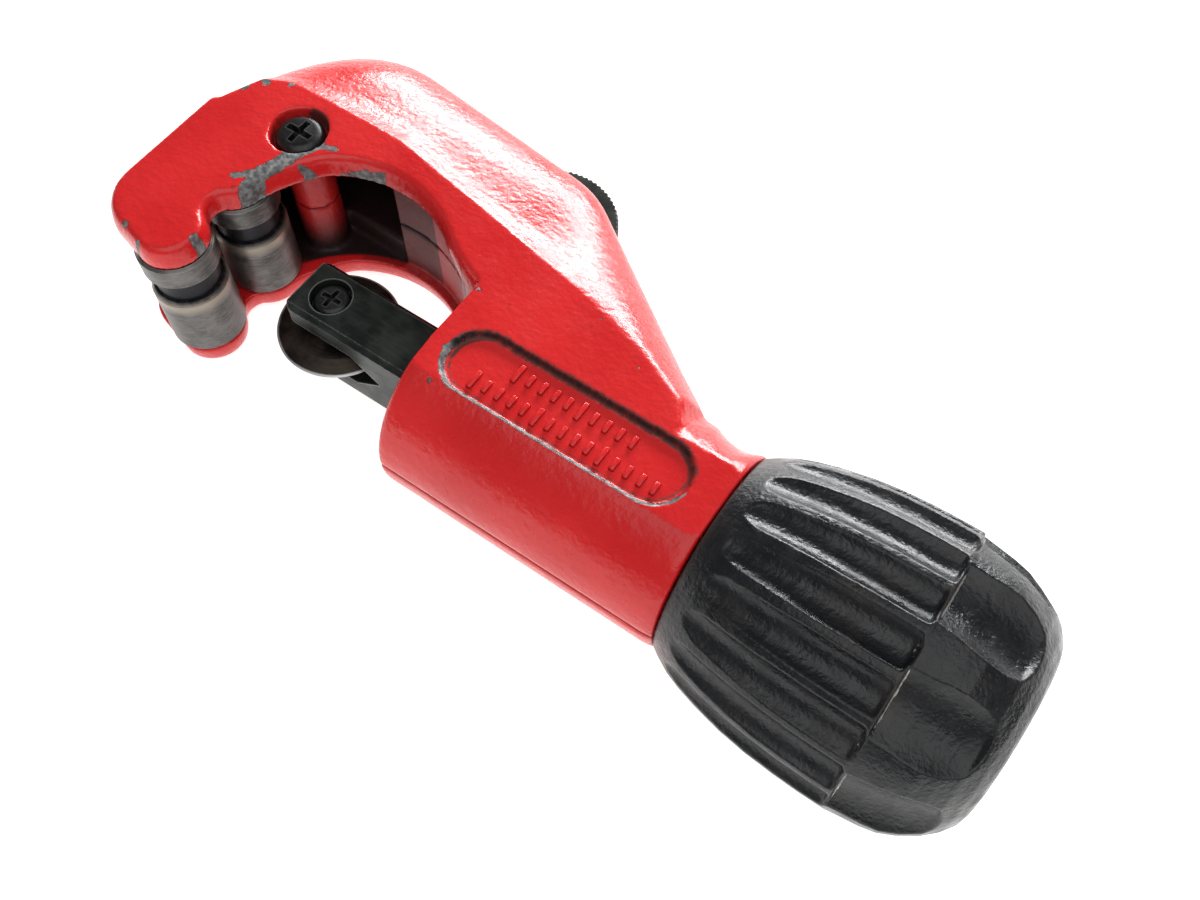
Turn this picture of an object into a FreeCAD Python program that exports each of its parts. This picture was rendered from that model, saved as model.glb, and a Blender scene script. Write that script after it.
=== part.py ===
import FreeCAD, Part
import math
import os
import Sketcher

# Tube cutter with an enclosed feed, in millimetres.
# The origin lies midway between the two roller axes on the parting plane of the two half shells.
# +X runs along the feed axis from the jaw to the knob, +Y points to the closed spine of the
# jaw and +Z runs along the roller axes, out of the upper half shell.
# The slide is drawn where it holds an 11 mm pipe.

os.makedirs("parts", exist_ok=True)
doc = FreeCAD.newDocument("tube_cutter")
sheet = doc.addObject("Spreadsheet::Sheet", "sizes")
nodes = []
upward = FreeCAD.Vector(0, 0, 1)


class Size:
    """A length with its value and the sheet expression that drives it."""

    def __init__(self, value, text=None):
        self.value = float(value)
        self.text = text or repr(float(value))
        self.driven = text is not None

    def combine(self, other, sign, value):
        other = as_size(other)
        result = Size(value, f"({self.text} {sign} {other.text})")
        result.driven = self.driven or other.driven
        return result

    def __add__(self, other):
        return self.combine(other, "+", self.value + as_size(other).value)

    def __sub__(self, other):
        return self.combine(other, "-", self.value - as_size(other).value)

    def __mul__(self, other):
        return self.combine(other, "*", self.value * as_size(other).value)

    def __truediv__(self, other):
        return self.combine(other, "/", self.value / as_size(other).value)

    def __neg__(self):
        return Size(0) - self


def as_size(item):
    """Return a plain number as a Size, and a Size unchanged."""
    return item if isinstance(item, Size) else Size(item)


def driving(alias, value):
    """Store one driving dimension in the sheet and return it as a Size."""
    driving.row += 1
    sheet.set(f"A{driving.row}", alias)
    sheet.set(f"B{driving.row}", str(value))
    sheet.setAlias(f"B{driving.row}", alias)
    return Size(value, f"sizes.{alias}")


driving.row = 0

# Half shells
half_depth = driving("half_depth", 14.3)
plate_inner = driving("plate_inner", 10.4)
wall_height = driving("wall_height", 6.0)
mouth_x = driving("mouth_x", 22.4)
mouth_radius = driving("mouth_radius", 19.3)
jaw_wall_radius = driving("jaw_wall_radius", 20.8)
jaw_window_x = driving("jaw_window_x", 19.0)
front_x = driving("front_x", -12.7)
casting_wall = driving("casting_wall", 2.5)
spine_cavity_depth = driving("spine_cavity_depth", 6.4)
barrel_front_x = driving("barrel_front_x", 44.1)
barrel_radius = driving("barrel_radius", 15.3)
barrel_rear_x = driving("barrel_rear_x", 91.2)
waist_offset = driving("waist_offset", 3.0)
waist_radius = driving("waist_radius", 17.0)
channel_half_width = driving("channel_half_width", 5.1)
channel_half_height = driving("channel_half_height", 7.4)
channel_rear_x = driving("channel_rear_x", 86.2)
wheel_way_half_width = driving("wheel_way_half_width", 9.9)
wheel_way_half_height = driving("wheel_way_half_height", 2.4)
wheel_way_rear_x = driving("wheel_way_rear_x", 60.2)
flange_room_front_x = driving("flange_room_front_x", 86.4)
flange_room_rear_x = driving("flange_room_rear_x", 89.4)
flange_room_radius = driving("flange_room_radius", 11.4)
rear_bore_radius = driving("rear_bore_radius", 8.15)
panel_front_x = driving("panel_front_x", 47.3)
panel_rear_x = driving("panel_rear_x", 86.2)
panel_radius = driving("panel_radius", 5.15)
panel_y = driving("panel_y", -0.25)
panel_depth = driving("panel_depth", 0.9)

# Body screws
head_screw_x = driving("head_screw_x", 3.9)
head_screw_y = driving("head_screw_y", 18.0)
head_screw_radius = driving("head_screw_radius", 3.9)
head_recess_radius = driving("head_recess_radius", 4.6)
head_seat = driving("head_seat", 11.6)
boss_radius = driving("boss_radius", 3.7)
screw_core_radius = driving("screw_core_radius", 1.7)
body_screw_radius = driving("body_screw_radius", 3.0)
body_recess_radius = driving("body_recess_radius", 3.25)
body_screw_seat = driving("body_screw_seat", 9.0)
rear_screw_x = driving("rear_screw_x", 74.0)
rear_screw_y = driving("rear_screw_y", 9.2)
spine_screw_x = driving("spine_screw_x", 20.0)
spine_screw_y = driving("spine_screw_y", 32.0)

# Rollers
roller_y = driving("roller_y", 6.8)
roller_radius = driving("roller_radius", 5.95)
roller_groove_radius = driving("roller_groove_radius", 5.0)
roller_half_length = driving("roller_half_length", 10.2)
roller_pin_radius = driving("roller_pin_radius", 2.0)
roller_pin_half_length = driving("roller_pin_half_length", 12.9)
running_gap = driving("running_gap", 0.06)

# Slide and cutting wheel
slide_front_x = driving("slide_front_x", 19.1)
slide_rear_x = driving("slide_rear_x", 60.6)
slide_half_width = driving("slide_half_width", 5.0)
slide_half_height = driving("slide_half_height", 7.3)
fork_half_gap = driving("fork_half_gap", 3.6)
fork_root_x = driving("fork_root_x", 31.0)
fork_tip_x = driving("fork_tip_x", 36.2)
wheel_x = driving("wheel_x", 24.1)
wheel_radius = driving("wheel_radius", 9.5)
hub_radius = driving("hub_radius", 3.6)
hub_half_length = driving("hub_half_length", 3.4)
axle_radius = driving("axle_radius", 1.9)
axle_head_radius = driving("axle_head_radius", 2.9)
axle_recess_radius = driving("axle_recess_radius", 3.2)
axle_seat = driving("axle_seat", 5.2)
stem_radius = driving("stem_radius", 4.5)
stem_front_x = driving("stem_front_x", 42.0)
stem_rear_x = driving("stem_rear_x", 104.8)
stem_pin_x = driving("stem_pin_x", 52.0)
stem_pin_radius = driving("stem_pin_radius", 1.25)

# Feed nut and knob
nut_flange_radius = driving("nut_flange_radius", 11.0)
nut_flange_front_x = driving("nut_flange_front_x", 86.65)
nut_flange_rear_x = driving("nut_flange_rear_x", 88.45)
nut_body_radius = driving("nut_body_radius", 8.06)
nut_rear_x = driving("nut_rear_x", 104.0)
nut_bore_radius = driving("nut_bore_radius", 4.57)
washer_front_x = driving("washer_front_x", 88.5)
washer_rear_x = driving("washer_rear_x", 89.3)
washer_radius = driving("washer_radius", 10.9)
knob_front_x = driving("knob_front_x", 91.6)
knob_rear_x = driving("knob_rear_x", 136.2)
knob_front_radius = driving("knob_front_radius", 15.4)
knob_radius = driving("knob_radius", 21.0)
knob_step_x = driving("knob_step_x", 120.9)
knob_hollow_radius = driving("knob_hollow_radius", 12.5)
knob_hollow_x = driving("knob_hollow_x", 131.0)
flute_count = driving("flute_count", 20)
flute_radius = driving("flute_radius", 3.4)
scallop_count = driving("scallop_count", 8)
scallop_radius = driving("scallop_radius", 13.0)
grub_x = driving("grub_x", 97.6)
grub_radius = driving("grub_radius", 2.0)
ring_radius = driving("ring_radius", 12.4)
ring_wire_radius = driving("ring_wire_radius", 0.75)
ring_x = driving("ring_x", 92.15)

# Folding reamer
reamer_x = driving("reamer_x", 39.5)
reamer_y = driving("reamer_y", 33.6)
reamer_radius = driving("reamer_radius", 11.0)
reamer_slot_half = driving("reamer_slot_half", 1.8)
reamer_slot_radius = driving("reamer_slot_radius", 11.4)
reamer_top = driving("reamer_top", 1.5)
reamer_bottom = driving("reamer_bottom", -1.2)
reamer_pin_radius = driving("reamer_pin_radius", 1.6)
reamer_pin_half_length = driving("reamer_pin_half_length", 8.0)
reamer_washer_radius = driving("reamer_washer_radius", 4.4)
# Corners of the blade and of its room in the shells, along and across the folded blade
reamer_rest_angle = -35.7
blade_corners = [(5.0, -6.4), (12.0, -6.0), (27.0, -0.8), (28.5, 1.4), (27.0, 3.0), (11.0, 7.4),
                 (5.0, 8.4)]
blade_room_corners = [(3.0, -9.0), (6.0, -8.0), (12.5, -7.2), (28.0, -1.6), (29.9, 1.5),
                      (28.0, 14.0), (3.0, 14.0)]
doc.recompute()


def vector(x, y, z=0.0):
    return FreeCAD.Vector(x, y, z)


def bind(item, property_path, size):
    """Drive one property of a document object by a sheet expression."""
    item.setExpression(property_path, as_size(size).text)


def new_body(name):
    """Start a sub-part whose label names its file."""
    body = doc.addObject("PartDesign::Body", name)
    body.Label = name
    nodes.append(body)
    return body


def origin_feature(body, role):
    return next(item for item in body.Origin.OriginFeatures if item.Role == role)


def new_sketch(body, name, role="XY_Plane", height=None):
    """Start a sketch on an origin plane of the body, moved along its normal by height."""
    sketch = body.newObject("Sketcher::SketchObject", name)
    sketch.AttachmentSupport = (origin_feature(body, role), [""])
    sketch.MapMode = "FlatFace"
    if height is not None:
        bind(sketch, "AttachmentOffset.Base.z", height)
    return sketch


def hold(sketch, size, kind, *place):
    """Add one dimension to a sketch and let the sheet drive it."""
    index = sketch.addConstraint(Sketcher.Constraint(kind, *place, size.value))
    if size.driven:
        bind(sketch, f"Constraints[{index}]", size)


def hold_point(sketch, item, end, x, y):
    """Fix one point of a sketch by its distances from the sketch origin."""
    for size, kind, axis in ((x, "DistanceX", -2), (y, "DistanceY", -1)):
        if abs(size.value) < 1e-9:
            sketch.addConstraint(Sketcher.Constraint("PointOnObject", item, end, axis))
        else:
            hold(sketch, size, kind, -1, 1, item, end)


def circle(sketch, x, y, radius):
    """Add a full circle."""
    x, y, radius = as_size(x), as_size(y), as_size(radius)
    item = sketch.addGeometry(Part.Circle(vector(x.value, y.value), upward, radius.value))
    hold(sketch, radius, "Radius", item)
    hold_point(sketch, item, 3, x, y)


def polygon(sketch, corners):
    """Add a closed run of straight lines, each corner held by its own dimensions."""
    corners = [(as_size(x), as_size(y)) for x, y in corners]
    ends = corners[1:] + corners[:1]
    for (x1, y1), (x2, y2) in zip(corners, ends):
        sketch.addGeometry(Part.LineSegment(vector(x1.value, y1.value), vector(x2.value, y2.value)))
    for item, (x, y) in enumerate(corners):
        sketch.addConstraint(Sketcher.Constraint("Coincident", item - 1 if item else len(corners) - 1,
                                                 2, item, 1))
        hold_point(sketch, item, 1, x, y)


def rectangle(sketch, x1, x2, y1, y2):
    polygon(sketch, [(x1, y1), (x2, y1), (x2, y2), (x1, y2)])


def outline(sketch, start, steps):
    """Add a closed run: a step with one point is a line, one with two points is an arc."""
    point = start
    for step in steps:
        ends = [vector(*point)] + [vector(*place) for place in step]
        sketch.addGeometry(Part.LineSegment(*ends) if len(ends) == 2 else Part.Arc(*ends))
        point = step[-1]


def pad(body, sketch, name, length, reverse=False):
    feature = body.newObject("PartDesign::Pad", name)
    feature.Profile = sketch
    bind(feature, "Length", length)
    feature.Reversed = reverse
    return feature


def pocket(body, sketch, name, length, along_normal=True):
    """Cut from the sketch plane, along its normal or against it."""
    feature = body.newObject("PartDesign::Pocket", name)
    feature.Profile = sketch
    bind(feature, "Length", length)
    feature.Reversed = along_normal
    return feature


def turn(body, sketch, name, axis="H_Axis", kind="Revolution", angle=360, reverse=False):
    """Turn a profile about one axis of its sketch, as material or as a groove."""
    feature = body.newObject(f"PartDesign::{kind}", name)
    feature.Profile = sketch
    feature.ReferenceAxis = (sketch, [axis])
    feature.Angle = angle
    feature.Reversed = reverse
    return feature


def repeat(body, feature, name, axis_role, count):
    """Repeat a feature round one origin axis of its body."""
    pattern = body.newObject("PartDesign::PolarPattern", name)
    pattern.Originals = [feature]
    pattern.Axis = (origin_feature(body, axis_role), [""])
    pattern.Angle = 360
    bind(pattern, "Occurrences", count)
    body.Tip = pattern
    return pattern


def blend_edges(body, name, size, chosen, kind="Fillet"):
    """Round or bevel the edges of the body's tip that the test picks."""
    doc.recompute()
    base = body.Tip
    names = [f"Edge{index + 1}" for index, edge in enumerate(base.Shape.Edges) if chosen(edge)]
    feature = body.newObject(f"PartDesign::{kind}", name)
    feature.Base = (base, names)
    bind(feature, "Radius" if kind == "Fillet" else "Size", size)
    return feature


def polar(centre, radius, degrees):
    angle = math.radians(degrees)
    return centre[0] + radius * math.cos(angle), centre[1] + radius * math.sin(angle)


def folded(along, across):
    """Place a point given along and across the folded reamer blade."""
    angle = math.radians(reamer_rest_angle)
    return (reamer_x + (along * math.cos(angle) - across * math.sin(angle)),
            reamer_y + (along * math.sin(angle) + across * math.cos(angle)))


def between(start, end, share):
    return tuple(a + (b - a) * share for a, b in zip(start, end))


# Edges of the jaw plate.  Each entry gives the points that end one line or arc, first at the
# parting plane and then at the flat face, where the rims are rounded inward by rim_inset.
mouth = (mouth_x.value, 0.0)
rear_ear = (0.0, roller_y.value)
front_ear = (0.1, -roller_y.value)
chin = (-4.1, -2.6)
crown = (6.5, 27.2)
back_corner = (39.0, 25.0)
rim_inset = 1.0
rear_ear_radius = 5.8
front_ear_radius = 5.7
chin_radius = 8.6
crown_radius = 17.3
back_corner_radius = 15.3
front_wall = front_x.value


def rim(centre, radius, degrees, outward):
    """Return an arc point and its partner where the rim is rounded; outward is +1 or -1."""
    return polar(centre, radius, degrees), polar(centre, radius + outward * rim_inset, degrees)


plate_start = ((barrel_front_x.value, 0.0), (barrel_front_x.value, 0.0))
rim_steps = [
    [((barrel_front_x.value, 10.2), (barrel_front_x.value, 11.2))],
    [((39.2, 12.15), (39.7, 13.05)), rim(mouth, mouth_radius.value, 52, 1)],
    [rim(mouth, mouth_radius.value, 88.7, 1), rim(mouth, mouth_radius.value, 125.4, 1)],
    [((7.7, 10.9), (6.8, 11.4)), rim(rear_ear, rear_ear_radius, -5, -1)],
    [rim(rear_ear, rear_ear_radius, -33.5, -1), rim(rear_ear, rear_ear_radius, -62, -1)],
    [((2.3, -0.05), (1.3, -0.05)), rim(front_ear, front_ear_radius, 62, -1)],
    [rim(front_ear, front_ear_radius, -14, -1), rim(front_ear, front_ear_radius, -90, -1)],
    [rim(chin, chin_radius, -100, -1)],
    [rim(chin, chin_radius, -140, -1), rim(chin, chin_radius, -180, -1)],
    [((front_wall, 16.45), (front_wall + rim_inset, 15.4))],
]
spine_steps = [
    [((-11.96, 24.91), (-9.9, 19.5)), (polar(crown, crown_radius, 160), (-7.9, 22.8))],
    [(polar(crown, crown_radius, 120), (-3.4, 24.9)), (polar(crown, crown_radius, 80), (6.1, 25.2))],
    [((19.0, 43.01), (18.0, 25.2))],
    [(polar(back_corner, back_corner_radius, 82.5), (36.0, 21.75))],
    [(polar(back_corner, back_corner_radius, 68.4), (38.5, 21.32)),
     (polar(back_corner, back_corner_radius, 54.3), (41.0, 20.75))],
    [((60.0, 28.73), (56.7, 17.7))],
    [((72.0, 20.1), (69.3, 14.1))],
    [((80.9, 13.7), (77.5, 10.6))],
    [((82.0, 9.0), (79.9, 7.4))],
    [((82.0, 0.0), (80.6, 0.0))],
]

# Depth of each section with its share of the way to the flat face: rim first, then spine.
shell_sections = [
    (7.6, 0.0, 0.03),
    (9.0, 0.0, 0.11),
    (10.6, 0.0, 0.27),
    (12.0, 0.07, 0.45),
    (13.1, 0.28, 0.64),
    (13.8, 0.53, 0.80),
]


def plate_section(body, name, depth, rim_share, spine_share, side):
    """Draw the plate outline at one depth between the parting plane and the flat face."""
    sketch = new_sketch(body, name, height=as_size(depth) * side)
    steps = [[between(*pair, rim_share) for pair in step] for step in rim_steps]
    steps += [[between(*pair, spine_share) for pair in step] for step in spine_steps]
    outline(sketch, between(*plate_start, rim_share), steps + [[between(*plate_start, rim_share)]])
    return sketch


def make_shell(name, side):
    """Build one half shell; side is +1 above the parting plane and -1 below it."""
    body = new_body(name)
    below = side < 0
    above = not below

    foot = plate_section(body, f"{name}_foot", 0, 0, 0, side)
    pad(body, foot, f"{name}_wall", wall_height, reverse=below)
    sections = [plate_section(body, f"{name}_section_0", wall_height, 0, 0, side)]
    for number, (depth, rim_share, spine_share) in enumerate(shell_sections, 1):
        sections.append(plate_section(body, f"{name}_section_{number}", depth, rim_share,
                                      spine_share, side))
    sections.append(plate_section(body, f"{name}_face", half_depth, 1, 1, side))
    loft = body.newObject("PartDesign::AdditiveLoft", f"{name}_slopes")
    loft.Profile = sections[0]
    loft.Sections = sections[1:]
    loft.Ruled = True

    # Feed barrel
    barrel = new_sketch(body, f"{name}_barrel_profile")
    front = barrel_front_x.value
    radius = barrel_radius.value
    rear = barrel_rear_x.value
    outline(barrel, (front, 0.0), [
        [(front, radius - 1.0)],
        [(front + 0.3, radius - 0.3), (front + 1.0, radius)],
        [(rear - 1.5, radius + 0.15)],
        [(rear, radius - 0.1)],
        [(rear, 0.0)],
        [(front, 0.0)],
    ])
    turn(body, barrel, f"{name}_barrel", angle=180, reverse=below)
    flat = new_sketch(body, f"{name}_flat_area", height=half_depth * side)
    rectangle(flat, barrel_front_x - 1, barrel_rear_x, -20, 20)
    pocket(body, flat, f"{name}_flat", 3, along_normal=above)

    # Waist in front of the knob, turned off centre so that it fades out towards the open side
    waist = new_sketch(body, f"{name}_waist_profile")
    bind(waist, "AttachmentOffset.Base.y", -waist_offset)
    reach = waist_radius.value
    outline(waist, (80.5, reach + 3.0), [
        [(83.0, reach + 1.1), (86.6, reach)],
        [(89.6, reach + 0.3), (rear + 0.5, reach + 1.6)],
        [(rear + 0.5, reach + 8.0)],
        [(80.5, reach + 8.0)],
        [(80.5, reach + 3.0)],
    ])
    turn(body, waist, f"{name}_waist", kind="Groove")

    # Recessed panel along the barrel
    panel = new_sketch(body, f"{name}_panel_shape", height=half_depth * side)
    left = panel_front_x.value + panel_radius.value
    right = panel_rear_x.value - panel_radius.value
    low = panel_y.value - panel_radius.value
    high = panel_y.value + panel_radius.value
    outline(panel, (left, low), [
        [(right, low)],
        [(panel_rear_x.value, panel_y.value), (right, high)],
        [(left, high)],
        [(panel_front_x.value, panel_y.value), (left, low)],
    ])
    pocket(body, panel, f"{name}_panel", panel_depth, along_normal=below)

    # Open jaw between the plates, with the closed wall set back behind their edge
    jaw = new_sketch(body, f"{name}_jaw_shape")
    inner_front = front_x + casting_wall
    polygon(jaw, [(front_x - 1, -14), (12, -14), (jaw_window_x, -14), (jaw_window_x, 21.6),
                  (inner_front, 21.6), (inner_front, -4), (front_x - 1, -4)])
    pocket(body, jaw, f"{name}_jaw", plate_inner, along_normal=above)
    mouth_back = new_sketch(body, f"{name}_mouth_shape")
    circle(mouth_back, mouth_x, 0, jaw_wall_radius)
    pocket(body, mouth_back, f"{name}_mouth_wall", plate_inner, along_normal=above)

    # Hollow of the spine, with a lower ceiling under the slope
    hollow = new_sketch(body, f"{name}_hollow_shape")
    wall = casting_wall.value
    outline(hollow, (front_wall + wall, 12.0), [
        [(front_wall + wall, 16.45)],
        [(-9.5, 24.3), (-7.4, 32.2)],
        [(polar(crown, crown_radius - wall, 120)), (9.2, 41.8)],
        [(27.2, 39.4)],
        [(27.2, 24.2)],
        [(jaw_window_x.value, 24.2)],
        [(jaw_window_x.value, 12.0)],
        [(front_wall + wall, 12.0)],
    ])
    pocket(body, hollow, f"{name}_hollow", spine_cavity_depth, along_normal=above)

    # Screw bosses stand on the ceiling and meet at the parting plane
    bosses = new_sketch(body, f"{name}_boss_shape")
    circle(bosses, head_screw_x, head_screw_y, boss_radius)
    pad(body, bosses, f"{name}_boss", plate_inner + 0.5, reverse=below)
    spine_boss = new_sketch(body, f"{name}_spine_boss_shape")
    circle(spine_boss, spine_screw_x, spine_screw_y, boss_radius)
    pad(body, spine_boss, f"{name}_spine_boss", spine_cavity_depth + 0.5, reverse=below)

    # Square way for the slide, side room for the wheel and turned room for the nut flange
    channel = new_sketch(body, f"{name}_channel_shape")
    rectangle(channel, barrel_front_x - 1, channel_rear_x, -channel_half_width, channel_half_width)
    pocket(body, channel, f"{name}_channel", channel_half_height, along_normal=above)
    wheel_way = new_sketch(body, f"{name}_wheel_way_shape")
    rectangle(wheel_way, barrel_front_x - 1, wheel_way_rear_x, -wheel_way_half_width,
              wheel_way_half_width)
    pocket(body, wheel_way, f"{name}_wheel_way", wheel_way_half_height, along_normal=above)
    flange_room = new_sketch(body, f"{name}_flange_room_profile")
    polygon(flange_room, [(channel_rear_x - 1, 0), (barrel_rear_x + 1, 0),
                          (barrel_rear_x + 1, rear_bore_radius),
                          (flange_room_rear_x, rear_bore_radius),
                          (flange_room_rear_x, flange_room_radius),
                          (flange_room_front_x, flange_room_radius),
                          (flange_room_front_x, stem_radius + 0.5),
                          (channel_rear_x - 1, stem_radius + 0.5)])
    turn(body, flange_room, f"{name}_flange_room", kind="Groove")

    # Blind seats for the roller pins
    pin_seats = new_sketch(body, f"{name}_pin_seat_shape", height=roller_pin_half_length * side)
    circle(pin_seats, 0, roller_y, roller_pin_radius)
    circle(pin_seats, 0, -roller_y, roller_pin_radius)
    pocket(body, pin_seats, f"{name}_pin_seats", 4, along_normal=below)

    # Slot for the folding reamer, open along the back slope
    slot = new_sketch(body, f"{name}_reamer_slot_shape")
    circle(slot, reamer_x, reamer_y, reamer_slot_radius)
    pocket(body, slot, f"{name}_reamer_slot", reamer_slot_half, along_normal=above)
    blade_room = new_sketch(body, f"{name}_blade_room_shape")
    polygon(blade_room, [folded(*corner) for corner in blade_room_corners])
    pocket(body, blade_room, f"{name}_blade_room", reamer_slot_half, along_normal=above)
    pivot = new_sketch(body, f"{name}_pivot_shape")
    circle(pivot, reamer_x, reamer_y, reamer_pin_radius)
    pocket(body, pivot, f"{name}_pivot_seat", reamer_pin_half_length, along_normal=above)

    # Screw holes: clearance on the side of the head, thread core in the other half
    for label, x, y, seat, recess, reach, from_above in (
            ("head", head_screw_x, head_screw_y, head_seat, head_recess_radius, 10.0, True),
            ("spine", spine_screw_x, spine_screw_y, body_screw_seat, body_recess_radius, 7.0, False),
            ("rear_left", rear_screw_x, rear_screw_y, body_screw_seat, body_recess_radius, 7.0, False),
            ("rear_right", rear_screw_x, -rear_screw_y, body_screw_seat, body_recess_radius, 7.0,
             False)):
        hole = new_sketch(body, f"{name}_{label}_hole_shape")
        circle(hole, x, y, screw_core_radius)
        depth = as_size(reach) if from_above != above else seat + 0.5
        pocket(body, hole, f"{name}_{label}_hole", depth, along_normal=above)
        if from_above == above:
            counterbore = new_sketch(body, f"{name}_{label}_recess_shape", height=seat * side)
            circle(counterbore, x, y, recess)
            pocket(body, counterbore, f"{name}_{label}_recess", 8, along_normal=above)
    return body


make_shell("upper_half_shell", 1)
make_shell("lower_half_shell", -1)


def make_screw(name, head_radius, head_height, shank_length, place, from_above=True, tip_radius=None):
    """Build a cross-recess pan-head screw; its head seats on the local plane z = 0."""
    body = new_body(name)
    shank = as_size(tip_radius or screw_core_radius)
    head_radius, head_height = as_size(head_radius), as_size(head_height)
    side = new_sketch(body, f"{name}_head_profile", "XZ_Plane")
    reach = head_radius.value
    rise = head_height.value
    outline(side, (0.0, 0.0), [
        [(reach, 0.0)],
        [(reach, rise * 0.45)],
        [(reach * 0.86, rise * 0.8), (reach * 0.6, rise * 0.94)],
        [(0.0, rise)],
        [(0.0, 0.0)],
    ])
    turn(body, side, f"{name}_head", "V_Axis")
    stem = new_sketch(body, f"{name}_shank_profile", "XZ_Plane")
    length = as_size(shank_length)
    polygon(stem, [(0, 0.2), (shank, 0.2), (shank, -(length - 0.7)), (shank - 0.6, -length),
                   (0, -length)])
    turn(body, stem, f"{name}_shank", "V_Axis")
    cross = new_sketch(body, f"{name}_cross_shape", height=head_height + 0.2)
    arm = head_radius * 0.58
    web = head_radius * 0.13
    polygon(cross, [(-arm, -web), (-web, -web), (-web, -arm), (web, -arm), (web, -web), (arm, -web),
                    (arm, web), (web, web), (web, arm), (-web, arm), (-web, web), (-arm, web)])
    pocket(body, cross, f"{name}_cross", head_height * 0.7 + 0.2, along_normal=False)
    body.Placement = FreeCAD.Placement(vector(*place),
                                       FreeCAD.Rotation(vector(1, 0, 0), 0 if from_above else 180))
    return body


make_screw("head_screw", head_screw_radius, 2.5, head_seat + 9.0,
           (head_screw_x.value, head_screw_y.value, head_seat.value))
for screw_name, screw_x, screw_y in (("spine_screw", spine_screw_x, spine_screw_y),
                                     ("rear_screw_left", rear_screw_x, rear_screw_y),
                                     ("rear_screw_right", rear_screw_x, -rear_screw_y)):
    make_screw(screw_name, body_screw_radius, 2.0, body_screw_seat + 6.0,
               (screw_x.value, screw_y.value, -body_screw_seat.value), from_above=False)


def make_pin(name, radius, low, high, place):
    """Build a round pin parallel to Z with bevelled ends."""
    body = new_body(name)
    low, high, radius = as_size(low), as_size(high), as_size(radius)
    section = new_sketch(body, f"{name}_profile", "XZ_Plane")
    polygon(section, [(0, low), (radius - 0.3, low), (radius, low + 0.3), (radius, high - 0.3),
                      (radius - 0.3, high), (0, high)])
    turn(body, section, f"{name}_pin", "V_Axis")
    body.Placement.Base = vector(*place)
    return body


def make_roller(name, y):
    """Build a grooved roller turned about Z, bored for its pin."""
    body = new_body(name)
    section = new_sketch(body, f"{name}_profile", "XZ_Plane")
    bore = roller_pin_radius + running_gap
    end = roller_half_length
    polygon(section, [(bore, -end), (roller_radius - 0.4, -end), (roller_radius, -(end - 0.4)),
                      (roller_radius, 1.3), (roller_radius - 0.5, 2.0), (roller_groove_radius, 2.0),
                      (roller_groove_radius, 6.0), (roller_radius - 0.25, 6.0),
                      (roller_radius, 6.25), (roller_radius, end - 0.4), (roller_radius - 0.4, end),
                      (bore, end)])
    turn(body, section, f"{name}_drum", "V_Axis")
    body.Placement.Base = vector(0, y, 0)
    return body


for roller_name, sign in (("front_roller", -1), ("rear_roller", 1)):
    make_roller(roller_name, sign * roller_y.value)
    make_pin(f"{roller_name}_pin", roller_pin_radius, -roller_pin_half_length, roller_pin_half_length,
             (0, sign * roller_y.value, 0))

# Slide: a square bar, forked in front for the wheel and bored behind for the feed screw
slide = new_body("cutter_slide")
bar = new_sketch(slide, "slide_section", "YZ_Plane", slide_front_x)
rectangle(bar, -slide_half_width, slide_half_width, -slide_half_height, slide_half_height)
pad(slide, bar, "slide_bar", slide_rear_x - slide_front_x)
blend_edges(slide, "slide_edges", 0.8,
            lambda edge: edge.BoundBox.XLength > 5, "Chamfer")
fork = new_sketch(slide, "fork_shape", "XZ_Plane", -slide_half_width - 1)
polygon(fork, [(slide_front_x - 1, -fork_half_gap), (fork_root_x, -fork_half_gap), (fork_tip_x, 0),
               (fork_root_x, fork_half_gap), (slide_front_x - 1, fork_half_gap)])
pocket(slide, fork, "fork_gap", slide_half_width * 2 + 2)
blend_edges(slide, "fork_ends", 1.2,
            lambda edge: abs(edge.BoundBox.XMax - slide_front_x.value) < 0.01
            and edge.BoundBox.ZLength > 2 and edge.BoundBox.YLength < 0.01)
axle_hole = new_sketch(slide, "axle_hole_shape", height=-slide_half_height + 1.0)
circle(axle_hole, wheel_x, 0, axle_radius)
pocket(slide, axle_hole, "axle_hole", slide_half_height * 2)
axle_recess = new_sketch(slide, "axle_recess_shape", height=axle_seat)
circle(axle_recess, wheel_x, 0, axle_recess_radius)
pocket(slide, axle_recess, "axle_recess", 4)
stem_bore = new_sketch(slide, "stem_bore_shape", "YZ_Plane", stem_front_x)
circle(stem_bore, 0, 0, stem_radius)
pocket(slide, stem_bore, "stem_bore", slide_rear_x - stem_front_x + 1)
pin_hole = new_sketch(slide, "pin_hole_shape", height=-slide_half_height - 1)
circle(pin_hole, stem_pin_x, 0, stem_pin_radius)
pocket(slide, pin_hole, "pin_hole", slide_half_height * 2 + 2)

# Cutting wheel with a hub on both sides and a ground V edge
wheel = new_body("cutter_wheel")
disc = new_sketch(wheel, "wheel_profile", "XZ_Plane")
wheel_bore = axle_radius + running_gap
polygon(disc, [(wheel_bore, -hub_half_length), (hub_radius - 0.3, -hub_half_length),
               (hub_radius, -(hub_half_length - 0.3)), (hub_radius, -1.3),
               (wheel_radius - 2.6, -1.05), (wheel_radius, -0.06), (wheel_radius, 0.06),
               (wheel_radius - 2.6, 1.05), (hub_radius, 1.3), (hub_radius, hub_half_length - 0.3),
               (hub_radius - 0.3, hub_half_length), (wheel_bore, hub_half_length)])
turn(wheel, disc, "wheel_disc", "V_Axis")
wheel.Placement.Base = vector(wheel_x.value, 0, 0)

make_screw("wheel_axle_screw", axle_head_radius, 1.8, axle_seat + 5.9,
           (wheel_x.value, 0, axle_seat.value), tip_radius=axle_radius)

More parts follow.
